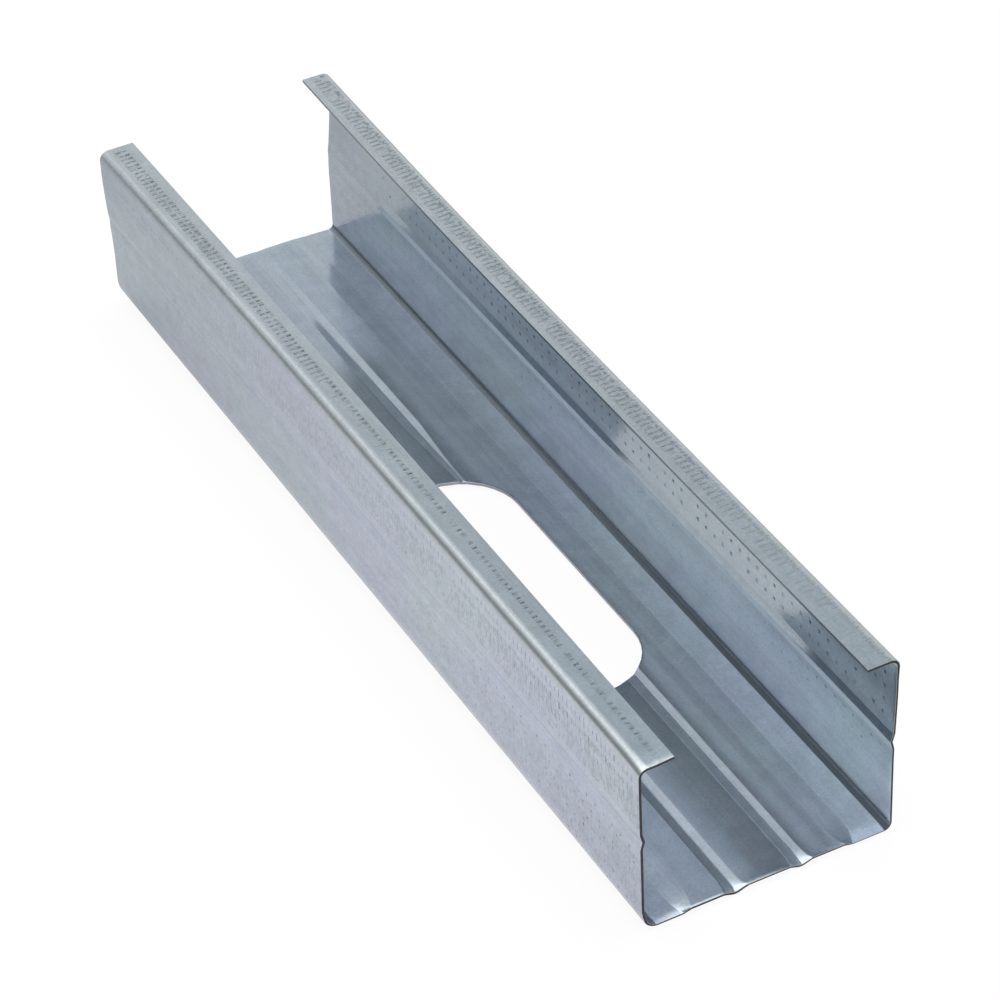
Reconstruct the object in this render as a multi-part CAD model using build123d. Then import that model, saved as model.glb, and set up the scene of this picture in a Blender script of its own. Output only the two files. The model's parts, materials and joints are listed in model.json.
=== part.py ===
from build123d import *
import os

# A steel stud: a short length of lipped channel, roll-formed from thin galvanised sheet.
# X runs across the web, Y along the stud, and +Z from the web up to the lips.
# The origin is at mid-length, on the centre line of the web's underside.
# All sizes are millimetres, and sizes of the section are taken over its outside.

# The sheet and the section
sheet_thickness = 0.6
stud_length = 200.0
web_width = 46.5
short_flange = 34.0
tall_flange = 36.0
short_flange_lip = 6.4
tall_flange_lip = 6.0

# Inside radii of the bends
web_bend = 1.6
lip_bend = 1.2
crease_bend = 1.6

# The web's raised panel, between two steps, and the two grooves pressed back down into it
panel_width = 30.0
panel_rise = 0.4
step_run = 2.0
groove_spacing = 12.2
groove_width = 3.4
groove_depth = 0.4

# The screw line: one groove pressed inwards along each flange
screw_line_height = 18.8
screw_line_width = 3.6
screw_line_depth = 0.35

# The cable slot through the web, with round ends, off the middle towards the -Y end
slot_width = 24.0
slot_length = 66.5
slot_centre = -15.7

# Everything below follows the sheet's middle line
half_sheet = sheet_thickness / 2
flange_x = web_width / 2 - half_sheet
panel_z = half_sheet + panel_rise


def middle_radius(inside_radius):
    return inside_radius + half_sheet


# One side from the lip's tip down to the corner of the web, as corners with their radii.
# The tip is an open end, so its radius isn't used.
def side_corners(flange_height, lip_width):
    lip_z = flange_height - half_sheet
    groove_top = screw_line_height + screw_line_width / 2
    groove_bottom = screw_line_height - screw_line_width / 2
    return [
        ((flange_x + half_sheet - lip_width, lip_z), 0.0),
        ((flange_x, lip_z), middle_radius(lip_bend)),
        ((flange_x, groove_top), middle_radius(crease_bend)),
        ((flange_x - screw_line_depth, screw_line_height), middle_radius(crease_bend)),
        ((flange_x, groove_bottom), middle_radius(crease_bend)),
        ((flange_x, half_sheet), middle_radius(web_bend)),
    ]


# Half of the web, from its step to the groove beside the centre line.
def web_corners():
    step_x = panel_width / 2
    groove_x = groove_spacing / 2
    return [
        ((step_x + step_run / 2, half_sheet), middle_radius(crease_bend)),
        ((step_x - step_run / 2, panel_z), middle_radius(crease_bend)),
        ((groove_x + groove_width / 2, panel_z), middle_radius(crease_bend)),
        ((groove_x, panel_z - groove_depth), middle_radius(crease_bend)),
        ((groove_x - groove_width / 2, panel_z), middle_radius(crease_bend)),
    ]


def mirrored(corners):
    return [((-x, z), radius) for (x, z), radius in corners]


# One skin of the sheet is its middle line moved sideways, inwards for a positive shift. Each
# corner moves along its bisector, and its bend gets tighter on one side and wider on the other.
def skin(corners, shift):
    points = [Vector(x, z) for (x, z), radius in corners]
    runs = [(end - start).normalized() for start, end in zip(points, points[1:])]
    normals = [Vector(-run.Y, run.X) for run in runs]
    moved = [points[0] + normals[0] * shift]
    bends = []
    for i in range(1, len(points) - 1):
        before, after = normals[i - 1], normals[i]
        moved.append(points[i] + (before + after) * (shift / (1 + before.dot(after))))
        turns_inwards = before.cross(after).Z > 0
        bends.append(corners[i][1] + (-shift if turns_inwards else shift))
    moved.append(points[-1] + normals[-1] * shift)
    return FilletPolyline(*moved, radius=bends)


# The middle line runs from the short flange's lip at -X, under the web, to the tall flange's
# lip at +X. The two skins and the sheared edges of the lips close the section.
def sheet_section():
    left = mirrored(side_corners(short_flange, short_flange_lip) + web_corners())
    right = side_corners(tall_flange, tall_flange_lip) + web_corners()
    corners = left + right[::-1]
    inside = skin(corners, half_sheet)
    outside = skin(corners, -half_sheet)
    short_lip_edge = Line(inside @ 0, outside @ 0)
    tall_lip_edge = Line(inside @ 1, outside @ 1)
    return Plane.XZ * make_face([inside, outside, short_lip_edge, tall_lip_edge])


# The slot is cut through the web alone, far below the lips.
def cable_slot():
    past_the_web = panel_rise + 2 * sheet_thickness
    outline = Pos(0, slot_centre, 0) * Rot(0, 0, 90) * SlotOverall(slot_length, slot_width)
    return extrude(outline, amount=past_the_web, both=True)


def steel_stud():
    channel = extrude(sheet_section(), amount=stud_length / 2, dir=(0, 1, 0), both=True)
    return channel - cable_slot()


os.makedirs("parts", exist_ok=True)
export_step(steel_stud(), "parts/steel_stud.step")
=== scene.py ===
import bpy, json, math, random
from mathutils import Matrix, Vector, noise

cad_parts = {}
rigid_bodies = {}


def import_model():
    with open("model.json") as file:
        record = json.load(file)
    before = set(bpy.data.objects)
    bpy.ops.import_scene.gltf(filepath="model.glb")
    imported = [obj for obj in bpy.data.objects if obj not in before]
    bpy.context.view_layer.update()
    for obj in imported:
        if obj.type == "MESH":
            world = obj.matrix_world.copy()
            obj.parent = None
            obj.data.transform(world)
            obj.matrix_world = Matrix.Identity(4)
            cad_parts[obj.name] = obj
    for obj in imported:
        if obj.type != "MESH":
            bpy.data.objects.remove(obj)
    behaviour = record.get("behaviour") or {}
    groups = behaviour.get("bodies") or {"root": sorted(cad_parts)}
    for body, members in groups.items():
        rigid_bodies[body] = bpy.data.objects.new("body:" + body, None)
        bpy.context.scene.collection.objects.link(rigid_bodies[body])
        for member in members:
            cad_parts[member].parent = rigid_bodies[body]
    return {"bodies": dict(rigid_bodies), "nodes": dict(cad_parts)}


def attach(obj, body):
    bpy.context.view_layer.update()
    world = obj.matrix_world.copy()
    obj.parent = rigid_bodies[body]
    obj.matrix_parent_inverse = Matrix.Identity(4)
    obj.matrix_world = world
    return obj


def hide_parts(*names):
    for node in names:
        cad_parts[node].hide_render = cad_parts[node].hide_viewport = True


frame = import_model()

# A short length of galvanised steel stud on a white studio floor.
# X runs across the web, Y along the stud and Z from the web up to the lips.
mm = 0.001
frameObjects = set(frame["bodies"].values()) | set(frame["nodes"].values())
for spare in [o for o in bpy.data.objects if o not in frameObjects]:
    bpy.data.objects.remove(spare)
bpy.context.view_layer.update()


def linearColour(hexText):
    channels = [int(hexText[i:i + 2], 16) / 255 for i in (1, 3, 5)]
    return [c / 12.92 if c <= 0.04045 else ((c + 0.055) / 1.055) ** 2.4 for c in channels] + [1.0]


# Adds a node, gives it its settings, and fills each input with a value or a link.
def addNode(tree, kind, inputs=None, **settings):
    node = tree.nodes.new(kind)
    for name, value in settings.items():
        setattr(node, name, value)
    for name, value in (inputs or {}).items():
        if isinstance(value, bpy.types.NodeSocket):
            tree.links.new(value, node.inputs[name])
        else:
            node.inputs[name].default_value = value
    return node


def emptyTree(owner):
    owner.use_nodes = True
    owner.node_tree.nodes.clear()
    return owner.node_tree


# A colour with others laid over it, each by its share.
def layered(tree, colour, *layers):
    for share, over in layers:
        colour = addNode(tree, "ShaderNodeMix", {0: share, 6: colour, 7: over}, data_type="RGBA").outputs[2]
    return colour


# The sheet, in millimetres. Sizes of the section are taken over its outside.
sheetValues = {
    "thickness": 0.6,
    "length": 200.0,
    "webWidth": 46.5,
    "shortFlange": 34.0,
    "tallFlange": 36.0,
    "shortLip": 6.4,
    "tallLip": 6.0,
    "webBend": 1.05,  # inside radii
    "lipBend": 1.2,
    "creaseBend": 1.6,
    "screwLineBend": 0.4,  # at the bottom of the screw line
    "panelWidth": 30.0,  # between the middles of the two steps
    "grooveSpacing": 12.2,
    "screwLineHeight": 18.8,
    "screwLineWidth": 3.2,
    "slotWidth": 23.6,
    "slotLength": 64.8,
    "slotCentre": -15.7,
    "edgeBreak": 0.04,  # the chamfer that shearing leaves on a cut edge
    "rimDrop": 0.035,  # the punch drew the slot's upper edge down, fading out over about this
    "rimSoft": 0.14,
    "webTop": 3.0,  # what lies lower is web
    "lipBottom": 32.0,  # and what lies higher is lip
}

# Where the mesh's lines run, in millimetres.
meshValues = {
    "columns": 148,  # cells along the stud, 1.35 mm each, the knurl wheel's pitch
    "nearEndLines": (0.25, 0.5, 0.85),  # extra lines, in from each end
    "farEndLine": 0.45,
    "marginBreak": 3.6,  # lines on the web, out from a step and in from a groove
    "grooveBreak": 3.7,
    "slotRays": (90, 80, 70, 60, 50),  # headings of the lines that meet the slot's ends
    "rimRings": (0.06, 0.14, 0.28, 0.5, 0.9),  # lines round the slot, out from its edge
    "ringLeast": 0.3,  # how close rings may come where they turn into the slot's middle
    "slotFade": 40.0,  # how far from the slot its ends still bend the cells
    "slotCalm": 15.4,  # and how far across the web
    "sharpAngle": 14.0,  # degrees
    "rimSmooth": (0.02, 1.3),  # no sharp edge this near to the slot's edge
}

# The relief rolled into the section. The shear that cut the piece off pinched it up at the near
# end and pressed it nearly flat at the far one, over the given reach.
reliefValues = {
    "body": {"panelRise": 0.26, "stepRun": 3.6, "grooveWidth": 3.2, "grooveDepth": 0.26,
             "screwLineDepth": 0.34},
    "nearEnd": {"panelRise": 0.38, "stepRun": 1.5, "grooveWidth": 4.0, "grooveDepth": 0.7,
                "screwLineDepth": 0.42},
    "farEnd": {"panelRise": 0.12, "stepRun": 3.2, "grooveWidth": 3.3, "grooveDepth": 0.12,
               "screwLineDepth": 0.12},
    "besideSlot": {"panelRise": 0.26, "stepRun": 3.6, "grooveWidth": 1.2, "grooveDepth": 0.07,
                   "screwLineDepth": 0.34},
    "nearReach": 5.0,
    "nearReachOfGrooves": 3.0,
    "farReach": 30.0,
    "farReachOfScrewLine": 140.0,
    "slotReach": 28.0,  # the grooves are shallow again past the slot, over this length
    "grooveZone": 9.0,  # the grooves lie within this of the web's middle
    "farBow": 0.3,  # how far the web's far end has bowed up
    "bowHalfWidth": 23.0,
    "bowTop": 4.0,
}

# Cutting a rolled section lets its flanges spring apart above the screw line. Near the ends the
# lips open or close a little too, and the feet of the flanges curve in towards the web.
springValues = {
    "short": {"near": 0.12, "far": 0.8, "heights": (10.0, 30.0), "lipOpens": 0.5,
              "footNear": 1.3, "footFar": 2.3, "footHeight": 4.8, "shift": 0.0},
    "tall": {"near": 0.45, "far": 1.15, "heights": (14.0, 31.0), "lipOpens": -0.08,
             "footNear": 0.0, "footFar": 0.0, "footHeight": 5.0, "shift": 0.15},
    "nearGrowth": 1.6,  # powers of the distance from the stud's middle
    "farGrowth": 2.2,
    "flangeStart": (17.0, 21.0),
    "lipHeights": (32.0, 33.0),
    "lipRoot": 22.5,
    "lipReach": 5.5,
}

# The sheared near end rolls over: how far the skin drops, and from how far in.
rollValues = {
    "margin": (0.22, 2.6),
    "groove": (0.05, 0.9),
    "panel": (0.1, 0.7),
    "inside": (0.04, 0.8),
    "shortFlange": (0.03, 0.8),
    "tallFlange": (0.15, 1.6),
    "shortLip": (0.035, 0.9),
    "tallLip": (0.03, 0.8),
    "marginZone": (16.0, 22.0),
    "grooveHalf": 1.8,
    "insideHeight": 2.0,
    "farShare": 0.4,
    "lipDroop": (0.3, 6.0),  # the short lip's near end sags along its bend
    "droopTip": 16.9,
    "droopWidth": 3.0,
}

# The sheet wanders from flat in long waves along it and in shorter ones: mm across, mm along, shift.
waveValues = {
    "height": 0.035,
    "long": (26.0, 42.0, 3.1),
    "short": (8.0, 11.0, 8.7),
    "shortShare": 0.3,
}

# Rows of knurl marks: heights on the flanges, distances from the tip on the lips.
knurlValues = {
    "lowerRows": [15.8, 13.35, 10.9, 8.45, 6.0, 3.6],
    "shortUpperRows": [23.3, 25.8, 28.3, 30.8],
    "tallUpperRows": [22.85, 25.5, 28.15, 30.8],
    "lowerRowSize": 1.24,
    "shortRowSize": 2.2,
    "tallRowSize": 1.24,
    "shortLipRows": [(1.95, 2.85), (2.95, 4.2)],
    "tallLipRows": [(1.35, 3.45), (3.5, 4.1)],
    "seed": 7,
    "strengths": (0.6, 1.2),  # how marks vary
    "sizes": (0.8, 1.15),
    # length along the stud and width across it as shares of a cell, depth in mm, and grime held
    "marks": {
        "pit": (0.3, 0.44, 0.04, 0.5),
        "pitBetweenRows": (0.22, 0.55, 0.024, 0.4),
        "innerPit": (0.4, 0.42, 0.04, 0.12),
        "dot": (0.5, 0.6, 0.052, 0.35),
        "dash": (0.22, (0.3, 0.95), 0.034, 0.5),
        "shortTipRib": (0.34, 0.9, 0.022, 0.55),
        "shortRootRib": (0.34, (0.6, 0.95), 0.022, 0.6),
        "tallTipRib": (0.36, (0.8, 0.96), 0.022, 0.15),
        "tallRootPit": (0.6, 0.8, 0.0154, 0.5),
    },
}


def middleRadius(insideRadius):
    return insideRadius + sheetValues["thickness"] / 2


def rowEdges(rows, size):
    return [edge for row in rows for edge in (row - size / 2, row + size / 2)]


def smooth(low, high, value):
    t = min(1.0, max(0.0, (value - low) / (high - low)))
    return t * t * (3 - 2 * t)


# One side of the middle line from the lip's tip to the web's middle. Each corner has its radius
# and the number of facets of its bend, and each run after a corner its breaks: the places on its
# longer axis where a line of the mesh runs.
def sideCorners(side, relief):
    v, m, k = sheetValues, meshValues, knurlValues
    half = v["thickness"] / 2
    flangeX = v["webWidth"] / 2 - half
    tipX = flangeX + half - v[side + "Lip"]
    tipZ = v[side + "Flange"] - half
    screwTop = v["screwLineHeight"] + v["screwLineWidth"] / 2
    screwBottom = v["screwLineHeight"] - v["screwLineWidth"] / 2
    screwX = flangeX - relief["screwLineDepth"]
    panelZ = half + relief["panelRise"]
    stepX, grooveX = v["panelWidth"] / 2, v["grooveSpacing"] / 2
    stepHalf, grooveHalf = relief["stepRun"] / 2, relief["grooveWidth"] / 2
    slotX = v["slotWidth"] / 2
    lipBreaks = [tipX + v["edgeBreak"]] + [tipX + edge for row in k[side + "LipRows"] for edge in row]
    upperBreaks = rowEdges(k[side + "UpperRows"], k[side + "RowSize"])
    lowerBreaks = rowEdges(k["lowerRows"], k["lowerRowSize"])
    slotBreaks = [slotX + ring for ring in m["rimRings"]]
    slotBreaks += [slotX * math.sin(math.radians(ray)) for ray in m["slotRays"]]
    crease = middleRadius(v["creaseBend"])
    return [
        (tipX, tipZ, 0.0, 0, lipBreaks),
        (flangeX, tipZ, middleRadius(v["lipBend"]), 8, upperBreaks),
        (flangeX, screwTop, crease, 3, []),
        (screwX, v["screwLineHeight"], middleRadius(v["screwLineBend"]), 5, []),
        (flangeX, screwBottom, crease, 3, lowerBreaks),
        (flangeX, half, middleRadius(v["webBend"]), 10, [stepX + m["marginBreak"]]),
        (stepX + stepHalf, half, crease, 4, []),
        (stepX - stepHalf, panelZ, crease, 4, slotBreaks),
        (grooveX + grooveHalf, panelZ, crease, 3, []),
        (grooveX, panelZ - relief["grooveDepth"], crease, 5, []),
        (grooveX - grooveHalf, panelZ, crease, 3, [grooveX - m["grooveBreak"], 0.0]),
    ]


# The whole section as a list of stations on the middle line: place, normal into the channel,
# distance along the flat strip, and which run or bend the cell after it belongs to.
def sectionStations(relief):
    short, tall = (sideCorners(side, relief) for side in ("short", "tall"))
    corners = [(-x, z, r, n) for x, z, r, n, cut in short]
    breaks = [[(-b if abs(z2 - z1) < abs(x2 - x1) else b) for b in cut]
              for (x1, z1, r, n, cut), (x2, z2, *rest) in zip(short, short[1:])]
    breaks.append([-b for b in short[-1][4]] + [b for b in tall[-1][4] if b])
    breaks += [cut for x, z, r, n, cut in tall[:-1]][::-1]
    corners += [(x, z, r, n) for x, z, r, n, cut in tall][::-1]
    names = ["lip", "upper", "screwUp", "screwDown", "lower",
             "margin", "step", "panel", "grooveOut", "grooveIn"]
    sides = [(n, -1) for n in names] + [("middle", 0)] + [(n, 1) for n in names[::-1]]

    points = [Vector((x, z)) for x, z, r, n in corners]
    found = []
    flat = 0.0
    start = points[0]
    for i, (name, side) in enumerate(sides):
        a, b = points[i], points[i + 1]
        along = (b - a).normalized()
        normal = Vector((-along.y, along.x))
        end = b
        if i + 2 < len(points):
            nextAlong = (points[i + 2] - b).normalized()
            angle = math.atan2(along.cross(nextAlong), along.dot(nextAlong))
            radius = corners[i + 1][2]
            end = b - along * (radius * math.tan(abs(angle) / 2))
        axis = 0 if abs(along.x) > abs(along.y) else 1
        length = end[axis] - start[axis]
        cuts = sorted({round((c - start[axis]) / length, 6) for c in breaks[i]})
        cuts = [0.0] + [c for c in cuts if 0.002 < c < 0.998]
        for c in cuts:
            place = start.lerp(end, c)
            found.append((place, normal, flat + (place - start).length, name, side))
        flat += (end - start).length
        if i + 2 < len(points):
            facets = corners[i + 1][3]
            centre = end + normal * math.copysign(radius, angle)
            for f in range(facets):
                turned = Matrix.Rotation(angle * f / facets, 2)
                place = centre + turned @ (end - centre)
                strip = flat + radius * abs(angle) * f / facets
                found.append((place, turned @ normal, strip, name + "Bend", side))
            turned = Matrix.Rotation(angle, 2)
            start = centre + turned @ (end - centre)
            flat += radius * abs(angle)
        else:
            found.append((end, normal, flat, "tip", side))
    return found


stations, nearStations, farStations, slotStations = (
    sectionStations(reliefValues[where]) for where in ("body", "nearEnd", "farEnd", "besideSlot"))
print("section:", len(stations), "lines, flat strip", round(stations[-1][2], 2), "mm wide")

slotRadius = sheetValues["slotWidth"] / 2
slotReach = sheetValues["slotLength"] / 2 - slotRadius
nearCentre = sheetValues["slotCentre"] - slotReach
farCentre = sheetValues["slotCentre"] + slotReach


# Lines across the stud, one for each knurl column, with a chamfer's line at each end, a few more
# where the ends roll over, and rings at the slot's ends. Each cell knows its knurl column, or None.
def crossLines():
    v, m = sheetValues, meshValues
    half, pitch = v["length"] / 2, v["length"] / m["columns"]
    columnLines = [-half + pitch * c for c in range(1, m["columns"])]
    slotEdges = [min(columnLines, key=lambda y: abs(y - centre)) for centre in (nearCentre, farCentre)]
    ends = [-half] + [-half + inset for inset in (v["edgeBreak"], *m["nearEndLines"])]
    ends += [half - m["farEndLine"], half - v["edgeBreak"], half]
    rings = [edge + way * ring for edge, way in zip(slotEdges, (-1, 1)) for ring in m["rimRings"]]
    lines = sorted(columnLines + ends + rings)
    cells = [round((low + half) / pitch) if high - low > 0.99 * pitch else None
             for low, high in zip(lines, lines[1:])]
    return lines, cells, [lines.index(edge) for edge in slotEdges]


lineYs, cellColumns, (nearLine, farLine) = crossLines()


# Where a line crosses the sheet at x: lines bend round the slot's ends, so that the mesh has
# the slot's outline and the rings of its rim, and are straight again on the flanges.
def lineAt(j, x):
    m = meshValues
    regular = lineYs[j]
    if nearLine < j < farLine:
        return regular
    centre, edge, way = (nearCentre, nearLine, -1) if j <= nearLine else (farCentre, farLine, 1)
    lastRing = m["rimRings"][-1]
    out = abs(regular - lineYs[edge])
    ringOut = min(out, lastRing)
    arc = math.sqrt(max(0.0, (slotRadius + ringOut) ** 2 - x * x))
    ringY = centre + way * max(arc, m["ringLeast"] * ringOut)
    near = max(0.0, 1 - (out - ringOut) / m["slotFade"])
    bent = regular + (ringY - lineYs[edge] - way * ringOut) * near * near
    calm = slotRadius + lastRing
    return bent + (regular - bent) * smooth(calm, calm + m["slotCalm"] - slotRadius, abs(x))


# How far a place is from the slot's edge, outwards.
def fromSlot(x, y):
    return math.hypot(x, max(0.0, abs(y - sheetValues["slotCentre"]) - slotReach)) - slotRadius


def inSlot(station):
    return abs(station[0].x) < slotRadius - 1e-6


# How far a skin drops where the sheet was sheared, and from how far in.
def rollOver(place, side, skin):
    r = rollValues
    x = abs(place.x)
    if skin < 0:
        part = "Lip" if place.y > sheetValues["lipBottom"] else "Flange"
        return r[("short" if side < 0 else "tall") + part]
    if place.y > r["insideHeight"]:
        return r["inside"]
    if r["marginZone"][0] < x < r["marginZone"][1]:
        return r["margin"]
    fromGroove = min(1.0, abs(x - sheetValues["grooveSpacing"] / 2) / r["grooveHalf"])
    return [g + (p - g) * fromGroove for g, p in zip(r["groove"], r["panel"])]


def waviness(flat, y):
    longWave, shortWave = (noise.noise(Vector((flat / across, y / along, shift)))
                           for across, along, shift in (waveValues["long"], waveValues["short"]))
    return waveValues["height"] * (longWave + waveValues["shortShare"] * shortWave)


# Where a point of a skin is: half the sheet off the middle line, less what was drawn or sheared
# down, then moved by the spring, the feet, the waves and the sag.
def skinPoint(i, j, skin):
    v, r, spring = sheetValues, reliefValues, springValues
    place, normal, flat, name, side = stations[i]
    fromNear = lineYs[j] + v["length"] / 2
    fromFar = v["length"] - fromNear
    inGrooves = abs(place.x) < r["grooveZone"]
    nearShare = max(0.0, 1 - fromNear / r["nearReachOfGrooves" if inGrooves else "nearReach"]) ** 2
    onScrewLine = "screw" in name or name == "lowerBend"
    farShare = max(0.0, 1 - fromFar / r["farReachOfScrewLine" if onScrewLine else "farReach"]) ** 1.5
    slotShare = 0.0
    if j >= farLine and inGrooves:
        slotShare = max(0.0, 1 - (lineYs[j] - lineYs[farLine]) / r["slotReach"])
    slotShare *= 2 - slotShare
    drop, reach = rollOver(place, side, skin)
    for there, share in ((slotStations, slotShare), (nearStations, nearShare), (farStations, farShare)):
        place = place.lerp(there[i][0], share)
        normal = normal.lerp(there[i][1], share)
    normal = normal.normalized()

    depth = v["thickness"] / 2
    onWeb = place.y < v["webTop"]
    besideSlot = j in (nearLine, farLine) or (nearLine < j < farLine and not inSlot(stations[i]))
    onSlot = onWeb and abs(place.x) < slotRadius + 1e-6 and besideSlot
    atEnd = j in (0, len(lineYs) - 1) or i in (0, len(stations) - 1)
    if atEnd or (onSlot and skin < 0):
        depth -= v["edgeBreak"]
    depth -= drop * max(0.0, 1 - fromNear / reach) ** 2
    depth -= drop * rollValues["farShare"] * max(0.0, 1 - fromFar / reach) ** 2
    if onWeb and skin > 0:
        away = max(0.0, fromSlot(place.x, lineAt(j, place.x)))
        depth -= v["rimDrop"] * math.exp(-away / v["rimSoft"])
    spot = place + normal * (skin * depth)
    y = lineAt(j, spot.x)

    s = spring["short" if side < 0 else "tall"]
    end = abs(y) / (v["length"] / 2)
    far = (y + v["length"] / 2) / v["length"]
    onFlange = smooth(*spring["flangeStart"], abs(spot.x))
    apart = s["near"] * end ** spring["nearGrowth"] if y < 0 else s["far"] * end ** spring["farGrowth"]
    apart *= smooth(*s["heights"], spot.y)
    foot = s["footNear"] + (s["footFar"] - s["footNear"]) * far
    apart -= foot * max(0.0, 1 - spot.y / s["footHeight"]) ** 2 * onFlange
    if y > 0:
        apart -= s["shift"] * end * end * onFlange
        acrossLip = min(1.0, max(0.0, (spring["lipRoot"] - abs(spot.x)) / spring["lipReach"]))
        apart -= s["lipOpens"] * end * end * smooth(*spring["lipHeights"], spot.y) * acrossLip
    wave = waviness(flat, y)
    if spot.y < r["bowTop"]:
        wave += r["farBow"] * farShare * max(0.0, 1 - abs(spot.x / r["bowHalfWidth"]) ** 6)
    droop = 0.0
    if place.y > v["lipBottom"] and side < 0:
        sag, sagReach = rollValues["lipDroop"]
        across = min(1.0, max(0.0, (-rollValues["droopTip"] - place.x) / rollValues["droopWidth"]))
        droop = sag * max(0.0, 1 - fromNear / sagReach) ** 2 * across * (place.y - v["lipBottom"]) / 2
    return Vector((spot.x + side * apart + normal.x * wave, y, spot.y + normal.y * wave - droop)) * mm


random.seed(knurlValues["seed"])


# The knurl's mark in a cell: a length along the stud and a width across the flange as shares of
# the cell, a depth in millimetres and the grime held, or None. They are worn at the far end.
def knurlMark(name, side, across, column, y):
    k = knurlValues
    towardsNear = 0.5 - y / sheetValues["length"]
    strength = random.uniform(*k["strengths"])
    size = random.uniform(*k["sizes"])
    chance = random.random()

    def mark(kind, depthLeft, grimeLeft=1.0, moreGrime=0.0):
        long, wide, depth, grime = k["marks"][kind]
        wide = random.uniform(*wide) if isinstance(wide, tuple) else wide * size
        return long * size, wide, depth * strength * depthLeft, (grime + moreGrime) * grimeLeft

    if name == "lower":
        row = min(k["lowerRows"], key=lambda r: abs(r - across))
        onRow = abs(row - across) < 0.1
        if side < 0:
            fade = min(1.0, max(0.0, 1.5 * towardsNear - 0.35))
            likely = 0.2 + fade * (0.9 if row > 15 else 0.6)
            if onRow and column % 2 == k["lowerRows"].index(row) % 2 and chance < likely:
                return mark("pit", fade, strength * fade)
            if not onRow and across < 14.8 and abs(row - across) > 0.5 and chance < 0.7 * fade - 0.3:
                return mark("pitBetweenRows", fade, strength * fade)
        elif onRow and column % 2 == 0:
            fade = (row - 1.0) / 15.0
            if chance < 0.4 + fade:
                return mark("innerPit", fade)
    if name == "upper":
        row = min(k["shortUpperRows" if side < 0 else "tallUpperRows"], key=lambda r: abs(r - across))
        if abs(row - across) > 0.1:
            return None
        if side > 0:
            fade = 1 - smooth(45, 90, y)
            onDot = column % 2 == 0 and chance < 0.3 + 0.6 * fade
            return mark("dot", 1.0, 0.2 + 0.8 * fade, 0.2 * strength) if onDot else None
        fade = min(1.0, max(0.0, 1.6 * towardsNear - 0.4)) * (1.0 if row > 25 else 0.5)
        if chance < 0.9 * fade + 0.1:
            return mark("dash", fade, strength * fade)
    if name == "lip":
        tip, root = k["shortLipRows" if side < 0 else "tallLipRows"]
        onTip, onRoot = tip[0] < across < tip[1], root[0] < across < root[1]
        if side > 0:
            fade = min(1.0, max(0.0, (y + 96) / 60))
            if onTip and chance < 0.35 + 0.6 * fade:
                return mark("tallTipRib", 1.0, 1.0, 0.35 * fade)
            if onRoot and chance < 0.6:
                return mark("tallRootPit", fade, fade)
        elif y >= -96:
            far = min(1.0, max(0.0, (y + 30) / 60))
            if onTip and chance < 0.9:
                return mark("shortTipRib", 1.0, 1.0, 0.3 * chance)
            if onRoot and chance < 0.85 * far + 0.1:
                return mark("shortRootRib", 0.3 + 0.7 * far, far)
    return None


# Painted shade, with some grime, in the inner bend at the tall flange: it lies against the web
# towards the near end, and against the flange at the far end. The angles are the bend's, from the web up to the
# flange.
def shadeAndGrimeInBend(name, place, normal, skin, y):
    if not name.endswith("Bend") or place.x < 20 or place.y > 4 or skin < 0:
        return 0.0
    angle = math.degrees(math.atan2(abs(normal.x), normal.y))
    towardsFar = smooth(-55.0, 55.0, y)
    near = smooth(0, 9, angle) * (1 - smooth(48, 84, angle))
    far = smooth(4, 20, angle) * (0.65 + 0.3 * smooth(48, 74, angle)) * (1 - smooth(81, 90, angle))
    return near * (1 - towardsFar) + far * towardsFar


markNames = ("markLong", "markWide", "markRise", "markGrime")
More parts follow.
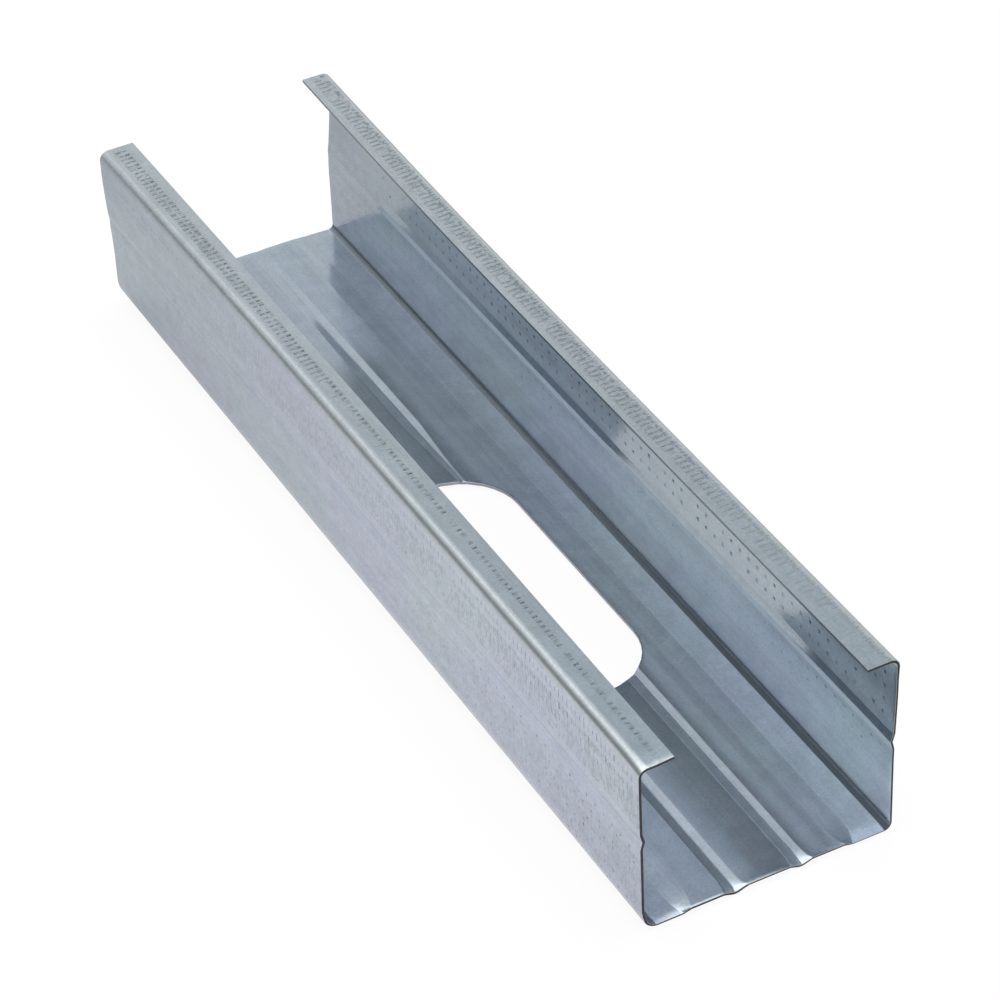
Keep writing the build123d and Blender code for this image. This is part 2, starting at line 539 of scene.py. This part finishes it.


# One closed mesh: the inner and outer skins, with walls at the ends, the lips' tips and round
# the slot. Faces carry the knurl's marks and which cut they belong to, and points whether they
# are on a lip or inside the channel, the painted shade with some grime in the web's bend, and the place on the flat
# strip.
def buildSheet():
    rows, lines = len(stations), len(lineYs)
    tipXs = [stations[0][0].x, stations[-1][0].x]
    points, faces, marks, cuts, index = [], [], [], [], {}
    notes = {"lipBand": [], "insideSkin": [], "innerBend": [], "stripPlace": []}

    def pointAt(i, j, skin):
        if (i, j, skin) not in index:
            index[i, j, skin] = len(points)
            points.append(skinPoint(i, j, skin))
            place, normal, flat, name, side = stations[i]
            inLipBend = name == "upperBend" and place.y > sheetValues["lipBottom"]
            onLip = name.startswith("lip") or name == "tip" or inLipBend
            notes["lipBand"].append(1.0 if onLip else 0.0)
            notes["insideSkin"].append(1.0 if skin > 0 else 0.0)
            notes["innerBend"].append(shadeAndGrimeInBend(name, place, normal, skin, lineYs[j]))
            notes["stripPlace"].append(-flat if flat < stations[-1][2] / 2 else stations[-1][2] - flat)
        return index[i, j, skin]

    def addFace(corners, mark=(0, 0, 0, 0), cut=0):
        faces.append(corners)
        marks.append(mark)
        cuts.append(cut)

    def hasCell(i, j):
        if not (0 <= i < rows - 1 and 0 <= j < lines - 1):
            return False
        middle = (stations[i][0] + stations[i + 1][0]) / 2
        return not (inSlot((middle,)) and nearLine <= j < farLine and middle.y < sheetValues["webTop"])

    for i in range(rows - 1):
        place, normal, flat, name, side = stations[i]
        middle = (place + stations[i + 1][0]) / 2
        across = abs(middle.x - tipXs[0 if side < 0 else 1]) if name == "lip" else middle.y
        for j in range(lines - 1):
            if not hasCell(i, j):
                continue
            column = cellColumns[j]
            mark = knurlMark(name, side, across, column, lineYs[j]) if column is not None else None
            longShare, wideShare, depth, grime = mark or (0, 0, 0, 0)
            ring = [(i, j), (i + 1, j), (i + 1, j + 1), (i, j + 1)]
            for skin, turn in ((1, ring), (-1, ring[:1] + ring[:0:-1])):
                corners = [pointAt(*corner, skin) for corner in turn]
                addFace(corners, (longShare, wideShare, skin * depth * mm, grime))
            # a wall closes each side where there is no next cell: ends are cut 1 and tips cut 2
            for missing, a, b, cut in (((i, j - 1), ring[0], ring[1], 1),
                                       ((i, j + 1), ring[2], ring[3], 1),
                                       ((i - 1, j), ring[3], ring[0], 2),
                                       ((i + 1, j), ring[1], ring[2], 2)):
                if not hasCell(*missing):
                    onSlot = 0 < j < lines - 2 and 0 < i < rows - 2
                    wall = [pointAt(*a, -1), pointAt(*b, -1), pointAt(*b, 1), pointAt(*a, 1)]
                    addFace(wall, cut=3 if onSlot else cut)
    mesh = bpy.data.meshes.new("studSheet")
    mesh.from_pydata(points, [], faces)
    for place, name in enumerate(markNames):
        mesh.attributes.new(name, "FLOAT", "FACE").data.foreach_set("value", [m[place] for m in marks])
    mesh.attributes.new("cutKind", "INT", "FACE").data.foreach_set("value", cuts)
    for name, values in notes.items():
        mesh.attributes.new(name, "FLOAT", "POINT").data.foreach_set("value", values)
    mesh.validate()
    return mesh


studSheet = bpy.data.objects.new("studSheet", buildSheet())
bpy.context.scene.collection.objects.link(studSheet)
print("sheet:", len(studSheet.data.polygons), "faces before the knurl")


# Hot-dip galvanised sheet, skin-passed: zinc over steel. A satin metal that mirrors softly
# through a haze, with a small faint spangle, fine grain, and streaks along it from the rollers.
# Grime has been rubbed into the bands that the knurl wheels ran over. A band along the screw
# line's crease is painted shade, and an inner bend has painted shade with some grime.
zincValues = {
    "outsideTints": ("#b2b8c8", "#b2bdc5"),
    "insideTints": ("#b0b9c6", "#b0bcc4"),
    "lipTint": "#b8c1c5",
    # the knurl's grime, also used for the painted shade along the screw line's crease
    "grime": "#394342",
    # the inner bend's dark colour is painted shade, with some grime
    "bendShadeAndGrimeColour": "#414d57",
    # patterns: mm across and along the stud, and detail
    "patterns": {
        "streaks": (1.1, 60.0, 2.0),
        "grain": (0.42, 0.42, 2.0),  # real grain is finer and wouldn't show
        "blotches": (4.0, 4.0, 3.0),
        "clouds": (34.0, 34.0, 3.0),  # patches of tint
        "ticks": (1.2, 0.42, 1.0),  # the marks that the knurl's teeth rubbed
    },
    # what they shade: the part of the pattern's range that counts, and what it turns into
    "shades": {
        "tint": ("clouds", 0.35, 0.65, 0.0, 1.0),
        "blotchTone": ("blotches", 0.3, 0.7, 0.97, 1.03),
        "streakTone": ("streaks", 0.3, 0.7, 0.96, 1.035),
        "grainTone": ("grain", 0.25, 0.75, 0.9, 1.06),
        "tickGrimeAndShade": ("ticks", 0.48, 0.62, 0.0744, 0.62),
        "pressedGrime": ("grain", 0.35, 0.6, 0.3, 1.1),
        "roughness": ("blotches", 0.3, 0.7, 0.12, 0.17),
    },
    "spangleSize": 2.6,  # mm across a spangle
    "spangleTone": (0.965, 1.035),
    # how strongly the inner bend takes its painted shade with some grime, and how rough it is there
    "bendShadeAndGrime": 0.95,
    "bendShadeAndGrimeRoughness": 0.7,
    "matteShare": 0.08,  # of the dull oxide on the zinc
    "lipRoughness": 0.21,
    "grimeRoughness": 0.15,  # added under grime
    "haze": 0.26,  # share and roughness of the wide lobe that dulls the mirror
    "hazeRoughness": 0.3,
    "streakRelief": 0.5,
    "bump": (0.35, 0.01),  # strength, and height in mm
    # bands of ticks: from and to in mm of the flat strip, counted from each lip's tip and
    # negative on the short flange, then strength at the near end, in the middle and at the far end
    "bands": [
        (-4.3, -2.9, 0.0, 0.1, 0.5),
        (-2.9, -1.85, 0.45, 0.5, 0.5),
        (-10.2, -9.4, 0.0, 0.15, 0.4),
        (-17.6, -10.2, 0.42, 0.36, 0.1),
        # painted shade: a dark line along the short flange's screw-line crease, drawn with the knurl's ticks
        (-20.0, -19.5, 0.4, 0.2, 0.0),
        (-36.0, -24.0, 0.22, 0.1, 0.0),
        (1.2, 3.4, 0.1, 0.5, 0.4),
        (3.4, 4.5, 0.35, 0.85, 0.85),
        (7.8, 20.0, 0.12, 0.06, 0.05),
    ],
    "bandSoft": 0.15,
    "bandPlaces": (-0.09, 0.0, 0.07),  # where on the stud the three strengths hold, in metres
}


# The share by which something lies within all of some soft edges. Each edge is a value, where
# it is fully outside and where it is fully inside.
def withinEdges(tree, edges):
    share = 1.0
    for value, outside, inside in edges:
        edge = addNode(tree, "ShaderNodeMapRange", {
            "Value": value, "From Min": outside, "From Max": inside}, interpolation_type="SMOOTHSTEP").outputs[0]
        share = addNode(tree, "ShaderNodeMath", {0: share, 1: edge}, operation="MULTIPLY").outputs[0]
    return share


# How much grime the knurl's bands hold at a place on the strip, with the painted shade of the band along the screw
# line's crease.
def knurlGrimeAndCreaseShade(tree, along, strip):
    soft = zincValues["bandSoft"]
    nearEnd, halfway, farEnd = zincValues["bandPlaces"]
    total = 0.0
    for low, high, near, middle, far in zincValues["bands"]:
        strength = near
        for start, end, reached in ((nearEnd, halfway, middle), (halfway, farEnd, far)):
            strength = addNode(tree, "ShaderNodeMapRange", {
                "Value": along, "From Min": start, "From Max": end, "To Min": strength, "To Max": reached},
                interpolation_type="SMOOTHSTEP").outputs[0]
        band = withinEdges(tree, ((strip, low - soft, low + soft), (strip, high + soft, high - soft)))
        total = addNode(tree, "ShaderNodeMath", {0: band, 1: strength, 2: total},
                        operation="MULTIPLY_ADD").outputs[0]
    return total


def zincMaterial():
    v = zincValues
    material = bpy.data.materials.new("galvanisedZinc")
    tree = emptyTree(material)
    place = addNode(tree, "ShaderNodeTexCoord").outputs["Object"]
    along = addNode(tree, "ShaderNodeSeparateXYZ", {0: place}).outputs[1]
    notes = {name: addNode(tree, "ShaderNodeAttribute", attribute_name=name).outputs["Fac"]
             for name in ("stripPlace", "insideSkin", "lipBand", "innerBend", "pressed")}
    patterns, shades = {}, {}
    for name, (across, lengthwise, detail) in v["patterns"].items():
        scale = (1 / (across * mm), 1 / (lengthwise * mm), 1 / (across * mm))
        spread = addNode(tree, "ShaderNodeMapping", {"Vector": place, "Scale": scale}).outputs[0]
        patterns[name] = addNode(tree, "ShaderNodeTexNoise", {
            "Vector": spread, "Scale": 1.0, "Detail": detail}).outputs["Fac"]
    for name, (source, low, high, least, most) in v["shades"].items():
        shades[name] = addNode(tree, "ShaderNodeMapRange", {
            "Value": patterns[source], "From Min": low, "From Max": high, "To Min": least, "To Max": most},
            interpolation_type="SMOOTHSTEP").outputs[0]
    spangle = addNode(tree, "ShaderNodeTexVoronoi", {"Vector": place, "Scale": 1 / (v["spangleSize"] * mm)})
    flake = addNode(tree, "ShaderNodeSeparateColor", {"Color": spangle.outputs["Color"]}).outputs[0]

    # two tints drift into each other in patches, and the lips are paler
    outside, inside = (layered(tree, linearColour(first), (shades["tint"], linearColour(second)))
                       for first, second in (v["outsideTints"], v["insideTints"]))
    lip, grime, bendShadeAndGrime = (linearColour(v[name]) for name in ("lipTint", "grime", "bendShadeAndGrimeColour"))
    colour = layered(tree, outside, (notes["insideSkin"], inside), (notes["lipBand"], lip))

    # brightness wanders by a few percent
    tone = addNode(tree, "ShaderNodeMapRange", {
        "Value": flake, "To Min": v["spangleTone"][0], "To Max": v["spangleTone"][1]}).outputs[0]
    for name in ("blotchTone", "streakTone", "grainTone"):
        tone = addNode(tree, "ShaderNodeMath", {0: tone, 1: shades[name]}, operation="MULTIPLY").outputs[0]
    colour = addNode(tree, "ShaderNodeVectorMath", {0: colour, "Scale": tone}, operation="SCALE").outputs[0]

    # grime rubbed on by the knurl's teeth, with painted shade along the screw line's crease; grime held in the
    # pressed marks; and painted shade with some grime in the bend
    rubbedGrimeAndShade, pressed, inBend = (
        addNode(tree, "ShaderNodeMath", {0: shade, 1: amount}, operation="MULTIPLY").outputs[0]
        for shade, amount in ((shades["tickGrimeAndShade"], knurlGrimeAndCreaseShade(tree, along, notes["stripPlace"])),
                              (shades["pressedGrime"], notes["pressed"]),
                              (v["bendShadeAndGrime"], notes["innerBend"])))
    grimeAndShade = addNode(tree, "ShaderNodeMath", {0: rubbedGrimeAndShade, 1: pressed}, operation="MAXIMUM").outputs[0]
    colour = layered(tree, colour, (grimeAndShade, grime), (inBend, bendShadeAndGrime))

    rough = addNode(tree, "ShaderNodeMapRange", {
        "Value": notes["lipBand"], "To Min": shades["roughness"], "To Max": v["lipRoughness"]}).outputs[0]
    rough = addNode(tree, "ShaderNodeMath", {0: grimeAndShade, 1: v["grimeRoughness"], 2: rough},
                    operation="MULTIPLY_ADD").outputs[0]
    relief = addNode(tree, "ShaderNodeMath", {
        0: patterns["streaks"], 1: v["streakRelief"], 2: patterns["grain"]}, operation="MULTIPLY_ADD").outputs[0]
    bump = addNode(tree, "ShaderNodeBump", {
        "Height": relief, "Strength": v["bump"][0], "Distance": v["bump"][1] * mm}).outputs[0]
    # where the painted shade lies in the bend, the surface is matte rather than metal
    metal = addNode(tree, "ShaderNodeMapRange", {
        "Value": inBend, "To Min": 1 - v["matteShare"], "To Max": 0.0}).outputs[0]
    lobes = []
    for clean in (rough, v["hazeRoughness"]):
        rough = addNode(tree, "ShaderNodeMapRange", {
            "Value": inBend, "To Min": clean, "To Max": v["bendShadeAndGrimeRoughness"]}).outputs[0]
        lobes.append(addNode(tree, "ShaderNodeBsdfPrincipled", {
            "Base Color": colour, "Metallic": metal, "Roughness": rough, "Normal": bump}).outputs[0])
    surface = addNode(tree, "ShaderNodeMixShader", {0: v["haze"], 1: lobes[0], 2: lobes[1]}).outputs[0]
    addNode(tree, "ShaderNodeOutputMaterial", {"Surface": surface})
    return material


# Bare steel where the sheet was cut, with fine tear lines through it: the sheared ends are dark
# and dull, the lips' edges, slit from the coil, are smoother, and the punched slot's wall is bright.
cutValues = {
    "sheared": ("#4e4a49", 0.5),
    "slit": ("#8d9297", 0.35),
    "punched": ("#a2a5ad", 0.3),
    "tearWidth": 0.12,  # mm between the tear lines
    "tearLength": 6.0,  # times their width
    "tearTone": (0.7, 1.15),
    "bump": (0.4, 0.03),  # strength, and height in mm
}


def cutSteel(name):
    v = cutValues
    hexText, roughness = v[name]
    material = bpy.data.materials.new(name + "SteelEdge")
    tree = emptyTree(material)
    place = addNode(tree, "ShaderNodeTexCoord").outputs["Object"]
    across = 1 / (v["tearWidth"] * mm)
    stretched = addNode(tree, "ShaderNodeMapping", {
        "Vector": place, "Scale": (across, across, across / v["tearLength"])}).outputs[0]
    tears = addNode(tree, "ShaderNodeTexNoise", {"Vector": stretched, "Scale": 1.0, "Detail": 2.0}).outputs["Fac"]
    tone = addNode(tree, "ShaderNodeMapRange", {
        "Value": tears, "From Min": 0.3, "From Max": 0.7,
        "To Min": v["tearTone"][0], "To Max": v["tearTone"][1]}).outputs[0]
    colour = addNode(tree, "ShaderNodeVectorMath", {
        0: linearColour(hexText)[:3], "Scale": tone}, operation="SCALE").outputs[0]
    bump = addNode(tree, "ShaderNodeBump", {
        "Height": tears, "Strength": v["bump"][0], "Distance": v["bump"][1] * mm}).outputs[0]
    surface = addNode(tree, "ShaderNodeBsdfPrincipled", {
        "Base Color": colour, "Metallic": 1.0, "Roughness": roughness, "Normal": bump}).outputs[0]
    addNode(tree, "ShaderNodeOutputMaterial", {"Surface": surface})
    return material


galvanisedZinc = zincMaterial()
cutSteels = [cutSteel(name) for name in ("sheared", "slit", "punched")]
print("materials made")

# The knurl tree: each marked cell is inset, then pushed into the sheet on the outside and out
# of it on the inside, as the knurling wheel does.
knurlInputs = {
    "Mark Size": 1.0,
    "Mark Depth": 1.0,
    "Floor Size": 0.42,
    "Size Variation": 0.08,
    "Seed": 11,
}


def knurlTree():
    tree = bpy.data.node_groups.new("knurling", "GeometryNodeTree")
    tree.interface.new_socket("Geometry", in_out="INPUT", socket_type="NodeSocketGeometry")
    tree.interface.new_socket("Geometry", in_out="OUTPUT", socket_type="NodeSocketGeometry")
    for name, value in knurlInputs.items():
        kind = "NodeSocketInt" if isinstance(value, int) else "NodeSocketFloat"
        tree.interface.new_socket(name, in_out="INPUT", socket_type=kind).default_value = value
    given = addNode(tree, "NodeGroupInput").outputs
    stored = {name: addNode(tree, "GeometryNodeInputNamedAttribute", {"Name": name},
                            data_type="INT" if name == "cutKind" else "FLOAT").outputs["Attribute"]
              for name in (*markNames, "cutKind")}

    height = addNode(tree, "ShaderNodeMath", {0: stored["markRise"]}, operation="ABSOLUTE").outputs[0]
    marked = addNode(tree, "ShaderNodeMath", {0: height, 1: 1e-6}, operation="GREATER_THAN").outputs[0]
    least, most = (addNode(tree, "ShaderNodeMath", {0: given["Mark Size"], 1: given["Size Variation"]},
                           operation=way).outputs[0] for way in ("SUBTRACT", "ADD"))
    size = addNode(tree, "FunctionNodeRandomValue", {2: least, 3: most, "Seed": given["Seed"]},
                   data_type="FLOAT").outputs[1]
    along = (0.0, 1.0, 0.0)
    across = addNode(tree, "ShaderNodeVectorMath", {
        0: addNode(tree, "GeometryNodeInputNormal").outputs[0], 1: along}, operation="CROSS_PRODUCT").outputs[0]

    inset = addNode(tree, "GeometryNodeExtrudeMesh", {
        "Mesh": given["Geometry"], "Selection": marked, "Offset Scale": 0.0, "Individual": True}, mode="FACES")
    shaped = inset.outputs["Mesh"]
    for name, axis in (("markLong", along), ("markWide", across)):
        share = addNode(tree, "ShaderNodeMath", {0: stored[name], 1: size}, operation="MULTIPLY").outputs[0]
        shaped = addNode(tree, "GeometryNodeScaleElements", {
            "Geometry": shaped, "Selection": inset.outputs["Top"], "Scale": share, "Axis": axis},
            domain="FACE", scale_mode="SINGLE_AXIS").outputs[0]
    depth = addNode(tree, "ShaderNodeMath", {0: stored["markRise"], 1: given["Mark Depth"]},
                    operation="MULTIPLY").outputs[0]
    pushed = addNode(tree, "GeometryNodeExtrudeMesh", {
        "Mesh": shaped, "Selection": inset.outputs["Top"], "Offset Scale": depth, "Individual": True}, mode="FACES")
    floor = addNode(tree, "GeometryNodeScaleElements", {
        "Geometry": pushed.outputs["Mesh"], "Selection": pushed.outputs["Top"], "Scale": given["Floor Size"]},
        domain="FACE", scale_mode="UNIFORM")
    anyPart = addNode(tree, "FunctionNodeBooleanMath", {
        0: pushed.outputs["Top"], 1: pushed.outputs["Side"]}, operation="OR").outputs[0]
    grime = addNode(tree, "ShaderNodeMath", {0: stored["markGrime"], 1: anyPart}, operation="MULTIPLY").outputs[0]
    noted = addNode(tree, "GeometryNodeStoreNamedAttribute", {
        "Geometry": floor.outputs[0], "Name": "pressed", "Value": grime}, data_type="FLOAT", domain="FACE")
    real = addNode(tree, "GeometryNodeRealizeInstances", {"Geometry": noted.outputs[0]}).outputs[0]
    finished = addNode(tree, "GeometryNodeSetMaterial", {"Geometry": real, "Material": galvanisedZinc}).outputs[0]
    for kind, material in enumerate(cutSteels, 1):
        chosen = addNode(tree, "FunctionNodeCompare", {2: stored["cutKind"], 3: kind},
                         data_type="INT", operation="GREATER_EQUAL").outputs[0]
        finished = addNode(tree, "GeometryNodeSetMaterial", {
            "Geometry": finished, "Selection": chosen, "Material": material}).outputs[0]
    addNode(tree, "NodeGroupOutput", {"Geometry": finished})
    return tree


knurling = studSheet.modifiers.new("knurling", "NODES")
knurling.node_group = knurlTree()
for item in knurling.node_group.interface.items_tree:
    if item.in_out == "INPUT" and item.name in knurlInputs:
        knurling[item.identifier] = knurlInputs[item.name]
graph = bpy.context.evaluated_depsgraph_get()
finishedMesh = bpy.data.meshes.new_from_object(studSheet.evaluated_get(graph))
studSheet.modifiers.clear()
studSheet.data = finishedMesh
finishedMesh.name = "studSheet"
for spent in (*markNames, "cutKind"):
    finishedMesh.attributes.remove(finishedMesh.attributes[spent])
finishedMesh.shade_smooth()
finishedMesh.set_sharp_from_angle(angle=math.radians(meshValues["sharpAngle"]))
# the slot's drawn rim is smooth, up to its edge
webTop = sheetValues["webTop"] * mm
rimStart, rimEnd = meshValues["rimSmooth"]
fromEdge = [fromSlot(p.co.x / mm, p.co.y / mm) if p.co.z < webTop else math.inf for p in finishedMesh.vertices]
for edge in finishedMesh.edges:
    if rimStart < max(fromEdge[p] for p in edge.vertices) < rimEnd:
        edge.use_edge_sharp = False
print("knurled:", sum(len(p.vertices) - 2 for p in finishedMesh.polygons), "triangles")

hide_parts("steel_stud")
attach(studSheet, "root")

# The studio: a white floor and backdrop. Reflections see the room in zones: on the left it is
# duller low down and brighter from halfway up, it is brightest overhead, and on the right is a
# cooler gap between two lights. The camera sees plain white.
studioValues = {
    "diffuseLevel": 0.75,  # what lights the floor
    "reflectedLevel": 0.88,
    "leftLevel": 0.78,
    "upperLeftLevel": 1.38,
    "overheadLevel": 2.3,
    "lowSideLevel": 0.4,
    "gapLevel": 0.69,
    "gapTint": "#d7e5f5",
    # zones by their soft edges: an angle, where the zone is fully out and where fully in. The light
    # overhead ends short of straight above and to the sides.
    "zones": {
        "left": [("heading", 2.0, -14.0)],
        "upperLeft": [("elevation", 36.0, 42.0)],
        "overhead": [("lifted", 52.0, 62.0), ("elevation", 86.0, 78.0), ("sideways", 80.0, 66.0)],
        "lowSide": [("heading", -33.0, -41.0), ("steepness", 31.0, 20.0)],
        "gap": [("heading", 11.0, 25.0), ("heading", 84.0, 76.0),
                ("elevation", 33.0, 41.0), ("elevation", 57.0, 50.0)],
    },
    "overheadLeft": (-20.0, -42.0, 15.0),  # headings over which it comes this much lower
    "floorReach": 4000.0,
    "floorHeight": -0.35,
    "floorWhite": 0.86,  # linear
    "floorShadow": 0.08,  # how much of the floor's own shading the camera sees
    "floorReflected": 0.65,  # share and brightness of its plain part in reflections
    "floorLevels": (0.99, 0.38),
    "floorFades": (-0.02, 0.25),
    "floorMiddle": (-0.045, -0.05, 0.0),
    "boxHeight": 700.0,
    "boxSize": (520.0, 520.0),
    "boxPower": 3.5,
    "boxPlace": (40.0, 60.0),
}


# The sky's level and tint in reflections, by heading from straight behind the object and by
# elevation, both in degrees.
def zonedSky(tree):
    v = studioValues
    towards = addNode(tree, "ShaderNodeTexCoord").outputs["Generated"]
    x, y, z = addNode(tree, "ShaderNodeSeparateXYZ", {0: towards}).outputs
    turned = addNode(tree, "ShaderNodeMath", {0: x, 1: y}, operation="ARCTAN2").outputs[0]
    raised = addNode(tree, "ShaderNodeMath", {0: z}, operation="ARCSINE").outputs[0]
    heading, elevation = (addNode(tree, "ShaderNodeMath", {0: angle}, operation="DEGREES").outputs[0]
                          for angle in (turned, raised))
    sideways, steepness = (addNode(tree, "ShaderNodeMath", {0: angle}, operation="ABSOLUTE").outputs[0]
                           for angle in (heading, elevation))
    first, last, lower = v["overheadLeft"]
    lift = withinEdges(tree, [(heading, first, last)])
    lifted = addNode(tree, "ShaderNodeMath", {0: lift, 1: lower, 2: elevation}, operation="MULTIPLY_ADD").outputs[0]
    angles = dict(heading=heading, elevation=elevation, sideways=sideways, steepness=steepness, lifted=lifted)
    shares = {zone: withinEdges(tree, [(angles[angle], *edge) for angle, *edge in edges])
              for zone, edges in v["zones"].items()}

    left = addNode(tree, "ShaderNodeMapRange", {
        "Value": shares["upperLeft"], "To Min": v["leftLevel"], "To Max": v["upperLeftLevel"]}).outputs[0]
    level = v["reflectedLevel"]
    for zone, there in (("left", left), ("overhead", v["overheadLevel"])):
        level = addNode(tree, "ShaderNodeMapRange", {
            "Value": shares[zone], "To Min": level, "To Max": there}).outputs[0]
    for zone in ("lowSide", "gap"):
        dimmed = addNode(tree, "ShaderNodeMapRange", {
            "Value": shares[zone], "To Min": 1.0, "To Max": v[zone + "Level"]}).outputs[0]
        level = addNode(tree, "ShaderNodeMath", {0: level, 1: dimmed}, operation="MULTIPLY").outputs[0]
    return level, layered(tree, (1, 1, 1, 1), (shares["gap"], linearColour(v["gapTint"])))


# Whether a ray is the camera's own, also through glass, and whether it is a reflection.
def rayKinds(tree):
    path = addNode(tree, "ShaderNodeLightPath").outputs
    straight = addNode(tree, "ShaderNodeMath", {0: path["Is Camera Ray"], 1: path["Is Transmission Ray"]},
                       operation="MAXIMUM").outputs[0]
    return straight, path["Is Glossy Ray"]


def addSky():
    world = bpy.data.worlds.new("studioWhite")
    bpy.context.scene.world = world
    tree = emptyTree(world)
    straight, reflected = rayKinds(tree)
    zones, tint = zonedSky(tree)
    level = addNode(tree, "ShaderNodeMix", {0: reflected, 2: studioValues["diffuseLevel"], 3: zones}).outputs[0]
    level = addNode(tree, "ShaderNodeMapRange", {"Value": straight, "To Min": level, "To Max": 1.0}).outputs[0]
    colour = layered(tree, (1, 1, 1, 1), (reflected, tint))
    sky = addNode(tree, "ShaderNodeBackground", {"Color": colour, "Strength": level}).outputs[0]
    addNode(tree, "ShaderNodeOutputWorld", {"Surface": sky})


# Matt white paper. It glows, so that it is plain white with only a faint shadow, and reflections
# see it darker away from the object.
def addFloor():
    v = studioValues
    reach, height = v["floorReach"] * mm, v["floorHeight"] * mm
    corners = [(x * reach, y * reach, height) for x, y in ((-1, -1), (1, -1), (1, 1), (-1, 1))]
    mesh = bpy.data.meshes.new("studioFloor")
    mesh.from_pydata(corners, [], [(0, 1, 2, 3)])
    floor = bpy.data.objects.new("studioFloor", mesh)
    bpy.context.scene.collection.objects.link(floor)
    paper = bpy.data.materials.new("whitePaper")
    tree = emptyTree(paper)
    straight, reflected = rayKinds(tree)
    place = addNode(tree, "ShaderNodeTexCoord").outputs["Object"]
    away = addNode(tree, "ShaderNodeVectorMath", {
        0: place, 1: v["floorMiddle"]}, operation="DISTANCE").outputs["Value"]
    inReflections = addNode(tree, "ShaderNodeMath", {0: reflected, 1: v["floorReflected"]},
                            operation="MULTIPLY").outputs[0]
    share = addNode(tree, "ShaderNodeMapRange", {
        "Value": straight, "To Min": inReflections, "To Max": 1 - v["floorShadow"]}).outputs[0]
    strength = addNode(tree, "ShaderNodeMapRange", {
        "Value": away, "From Min": v["floorFades"][0], "From Max": v["floorFades"][1],
        "To Min": v["floorLevels"][0], "To Max": v["floorLevels"][1]}, interpolation_type="SMOOTHSTEP").outputs[0]
    strength = addNode(tree, "ShaderNodeMapRange", {
        "Value": straight, "To Min": strength, "To Max": 1.0}).outputs[0]
    shaded = addNode(tree, "ShaderNodeBsdfDiffuse", {"Color": (*[v["floorWhite"]] * 3, 1)}).outputs[0]
    glow = addNode(tree, "ShaderNodeEmission", {"Color": (1, 1, 1, 1), "Strength": strength}).outputs[0]
    mixed = addNode(tree, "ShaderNodeMixShader", {0: share, 1: shaded, 2: glow}).outputs[0]
    addNode(tree, "ShaderNodeOutputMaterial", {"Surface": mixed})
    mesh.materials.append(paper)


def addSoftBox():
    v = studioValues
    box = bpy.data.lights.new("softBox", "AREA")
    box.shape, box.energy = "RECTANGLE", v["boxPower"]
    box.size, box.size_y = (size * mm for size in v["boxSize"])
    holder = bpy.data.objects.new("softBox", box)
    holder.location = [place * mm for place in (*v["boxPlace"], v["boxHeight"])]
    holder.visible_glossy = False  # or the web would burn out from above
    bpy.context.scene.collection.objects.link(holder)


# The camera stands to the near left of the stud and well above it, with a long lens.
cameraValues = {
    "lens": 143.43,
    "sensor": 36.0,
    "azimuth": -26.807,
    "elevation": 38.087,
    "roll": -2.609,
    "distance": 702.378,
    "aside": (-4.916, -7.288),
    "clip": (10.0, 20000.0),
}


def addCamera():
    v = cameraValues
    a, e, r = (math.radians(v[name]) for name in ("azimuth", "elevation", "roll"))
    back = Vector((math.sin(a) * math.cos(e), -math.cos(a) * math.cos(e), math.sin(e)))
    right = Vector((math.cos(a), math.sin(a), 0))
    up = back.cross(right)
    right, up = right * math.cos(r) + up * math.sin(r), up * math.cos(r) - right * math.sin(r)
    stand = (back * v["distance"] - right * v["aside"][0] - up * v["aside"][1]) * mm
    camera = bpy.data.objects.new("camera", bpy.data.cameras.new("camera"))
    camera.data.lens, camera.data.sensor_width = v["lens"], v["sensor"]
    camera.data.clip_start, camera.data.clip_end = (clip * mm for clip in v["clip"])
    camera.matrix_world = Matrix([(right[i], up[i], back[i], stand[i]) for i in range(3)] + [(0, 0, 0, 1)])
    bpy.context.scene.collection.objects.link(camera)
    bpy.context.scene.camera = camera


addSky()
addFloor()
addSoftBox()
addCamera()
bpy.context.scene.view_settings.view_transform = "Standard"
bpy.context.view_layer.update()
print("studio and camera ready")
